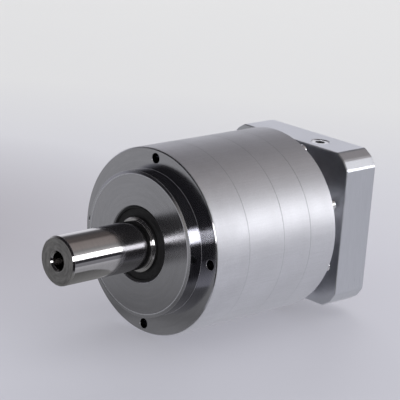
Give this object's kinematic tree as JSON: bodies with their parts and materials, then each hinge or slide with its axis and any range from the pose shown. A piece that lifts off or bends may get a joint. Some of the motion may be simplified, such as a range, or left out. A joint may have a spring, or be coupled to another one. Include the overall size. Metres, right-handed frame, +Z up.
{
  "type": "planetary gearbox",
  "caption": "Round coaxial two-stage planetary gearbox with a plain output shaft, pilot flange and square motor adapter plate.",
  "frame": {"origin": "on the gearbox axis, in the plane of the output flange's mounting face", "axes": "-Y along the output shaft, away from the housing; +Y towards the motor; +Z up, with the access plug on top; +X to the right seen from the output end"},
  "size_m": [0.155, 0.2916, 0.155],
  "materials": {
    "housing_steel": "fine-turned and ground",
    "ground_steel": "ground and polished",
    "satin_casing": "satin, finely turned",
    "aluminium_plate": "brushed",
    "bright_screws": "bright zinc",
    "black_screws": "black oxide",
    "seal_rubber": "matt",
    "spring_steel": "phosphated spring steel",
    "bearing_steel": "hardened and polished",
    "cage_brass": "machined",
    "gear_steel": "case-hardened and ground",
    "machined_steel": "turned"
  },
  "bodies": {
    "housing": {"output_housing": "housing_steel", "output_ring_gear": "satin_casing", "input_ring_gear": "satin_casing", "rear_housing": "satin_casing", "seal_carrier": "satin_casing", "adapter_plate": "aluminium_plate", "tie_screws": "bright_screws", "adapter_screws": "black_screws", "dowel_pins": "bearing_steel", "housing_o_rings": "seal_rubber", "front_bearing_outer_ring": "bearing_steel", "rear_bearing_outer_ring": "bearing_steel", "outer_spacer": "machined_steel", "output_bore_circlip": "spring_steel", "output_seal": "seal_rubber", "output_seal_spring": "spring_steel", "input_bearing_outer_ring": "bearing_steel", "input_bore_circlip": "spring_steel", "input_seal": "seal_rubber", "input_seal_spring": "spring_steel"},
    "output": {"output_shaft": "ground_steel", "output_carrier": "machined_steel", "output_planet_pins": "bearing_steel", "output_thrust_washers": "cage_brass", "sun_thrust_pad": "cage_brass", "front_bearing_inner_ring": "bearing_steel", "rear_bearing_inner_ring": "bearing_steel", "inner_spacer": "machined_steel", "output_shaft_circlip": "spring_steel"},
    "front_bearing_set": {"front_bearing_balls": "bearing_steel", "front_bearing_cage": "cage_brass"},
    "rear_bearing_set": {"rear_bearing_balls": "bearing_steel", "rear_bearing_cage": "cage_brass"},
    "input_bearing_set": {"input_bearing_balls": "bearing_steel", "input_bearing_cage": "cage_brass"},
    "first_stage_carrier": {"input_carrier": "machined_steel", "output_sun": "gear_steel", "input_planet_pins": "bearing_steel", "input_thrust_washers": "cage_brass"},
    "input": {"input_hub": "machined_steel", "input_sun": "gear_steel", "clamp_collar": "machined_steel", "clamp_screw": "bright_screws", "input_bearing_inner_ring": "bearing_steel", "hub_circlip": "spring_steel"},
    "plug": {"access_plug": "bright_screws"},
    "output_planet_body_1": {"output_planet_1": "gear_steel"},
    "output_roller_set_1": {"output_rollers_1": "bearing_steel"},
    "input_planet_body_1": {"input_planet_1": "gear_steel"},
    "input_roller_set_1": {"input_rollers_1": "bearing_steel"},
    "output_planet_body_2": {"output_planet_2": "gear_steel"},
    "output_roller_set_2": {"output_rollers_2": "bearing_steel"},
    "input_planet_body_2": {"input_planet_2": "gear_steel"},
    "input_roller_set_2": {"input_rollers_2": "bearing_steel"},
    "output_planet_body_3": {"output_planet_3": "gear_steel"},
    "output_roller_set_3": {"output_rollers_3": "bearing_steel"},
    "input_planet_body_3": {"input_planet_3": "gear_steel"},
    "input_roller_set_3": {"input_rollers_3": "bearing_steel"}
  },
  "joints": [
    {"name": "output_spin", "type": "hinge", "parent": "housing", "child": "output", "pos_m": [0, 0, 0], "axis": [0, -1, 0], "continuous": true},
    {"name": "first_stage_spin", "type": "hinge", "parent": "housing", "child": "first_stage_carrier", "pos_m": [0, 0, 0], "axis": [0, -1, 0], "continuous": true},
    {"name": "input_spin", "type": "hinge", "parent": "housing", "child": "input", "pos_m": [0, 0.125, 0], "axis": [0, -1, 0], "continuous": true},
    {"name": "front_bearing_spin", "type": "hinge", "parent": "housing", "child": "front_bearing_set", "pos_m": [0, 0, 0], "axis": [0, -1, 0], "continuous": true},
    {"name": "rear_bearing_spin", "type": "hinge", "parent": "housing", "child": "rear_bearing_set", "pos_m": [0, 0.0265, 0], "axis": [0, -1, 0], "continuous": true},
    {"name": "input_bearing_spin", "type": "hinge", "parent": "housing", "child": "input_bearing_set", "pos_m": [0, 0.125, 0], "axis": [0, -1, 0], "continuous": true},
    {"name": "output_planet_spin_1", "type": "hinge", "parent": "output", "child": "output_planet_body_1", "pos_m": [0, 0.05875, 0.0405], "axis": [0, -1, 0], "continuous": true},
    {"name": "output_roller_spin_1", "type": "hinge", "parent": "output", "child": "output_roller_set_1", "pos_m": [0, 0.05875, 0.0405], "axis": [0, -1, 0], "continuous": true},
    {"name": "output_planet_spin_2", "type": "hinge", "parent": "output", "child": "output_planet_body_2", "pos_m": [-0.03507, 0.05875, -0.02025], "axis": [0, -1, 0], "continuous": true},
    {"name": "output_roller_spin_2", "type": "hinge", "parent": "output", "child": "output_roller_set_2", "pos_m": [-0.03507, 0.05875, -0.02025], "axis": [0, -1, 0], "continuous": true},
    {"name": "output_planet_spin_3", "type": "hinge", "parent": "output", "child": "output_planet_body_3", "pos_m": [0.03507, 0.05875, -0.02025], "axis": [0, -1, 0], "continuous": true},
    {"name": "output_roller_spin_3", "type": "hinge", "parent": "output", "child": "output_roller_set_3", "pos_m": [0.03507, 0.05875, -0.02025], "axis": [0, -1, 0], "continuous": true},
    {"name": "input_planet_spin_1", "type": "hinge", "parent": "first_stage_carrier", "child": "input_planet_body_1", "pos_m": [0, 0.09275, 0.03375], "axis": [0, -1, 0], "continuous": true},
    {"name": "input_roller_spin_1", "type": "hinge", "parent": "first_stage_carrier", "child": "input_roller_set_1", "pos_m": [0, 0.09275, 0.03375], "axis": [0, -1, 0], "continuous": true},
    {"name": "input_planet_spin_2", "type": "hinge", "parent": "first_stage_carrier", "child": "input_planet_body_2", "pos_m": [-0.02923, 0.09275, -0.01688], "axis": [0, -1, 0], "continuous": true},
    {"name": "input_roller_spin_2", "type": "hinge", "parent": "first_stage_carrier", "child": "input_roller_set_2", "pos_m": [-0.02923, 0.09275, -0.01688], "axis": [0, -1, 0], "continuous": true},
    {"name": "input_planet_spin_3", "type": "hinge", "parent": "first_stage_carrier", "child": "input_planet_body_3", "pos_m": [0.02923, 0.09275, -0.01688], "axis": [0, -1, 0], "continuous": true},
    {"name": "input_roller_spin_3", "type": "hinge", "parent": "first_stage_carrier", "child": "input_roller_set_3", "pos_m": [0.02923, 0.09275, -0.01688], "axis": [0, -1, 0], "continuous": true},
    {"name": "access_plug_lift", "type": "slide", "parent": "housing", "child": "plug", "axis": [0, 0, 1], "range_m": [0, 0.03]}
  ],
  "couplings": [
    {"joint": "first_stage_spin", "follows": "output_spin", "ratio": 4},
    {"joint": "input_spin", "follows": "output_spin", "ratio": 20},
    {"joint": "front_bearing_spin", "follows": "output_spin", "ratio": 0.43481},
    {"joint": "rear_bearing_spin", "follows": "output_spin", "ratio": 0.43481},
    {"joint": "input_bearing_spin", "follows": "output_spin", "ratio": 8.5231},
    {"joint": "output_planet_spin_1", "follows": "output_spin", "ratio": -3},
    {"joint": "output_roller_spin_1", "follows": "output_spin", "ratio": -1.8},
    {"joint": "output_planet_spin_2", "follows": "output_spin", "ratio": -3},
    {"joint": "output_roller_spin_2", "follows": "output_spin", "ratio": -1.8},
    {"joint": "output_planet_spin_3", "follows": "output_spin", "ratio": -3},
    {"joint": "output_roller_spin_3", "follows": "output_spin", "ratio": -1.8},
    {"joint": "input_planet_spin_1", "follows": "output_spin", "ratio": -10.667},
    {"joint": "input_roller_spin_1", "follows": "output_spin", "ratio": -6.4},
    {"joint": "input_planet_spin_2", "follows": "output_spin", "ratio": -10.667},
    {"joint": "input_roller_spin_2", "follows": "output_spin", "ratio": -6.4},
    {"joint": "input_planet_spin_3", "follows": "output_spin", "ratio": -10.667},
    {"joint": "input_roller_spin_3", "follows": "output_spin", "ratio": -6.4}
  ]
}
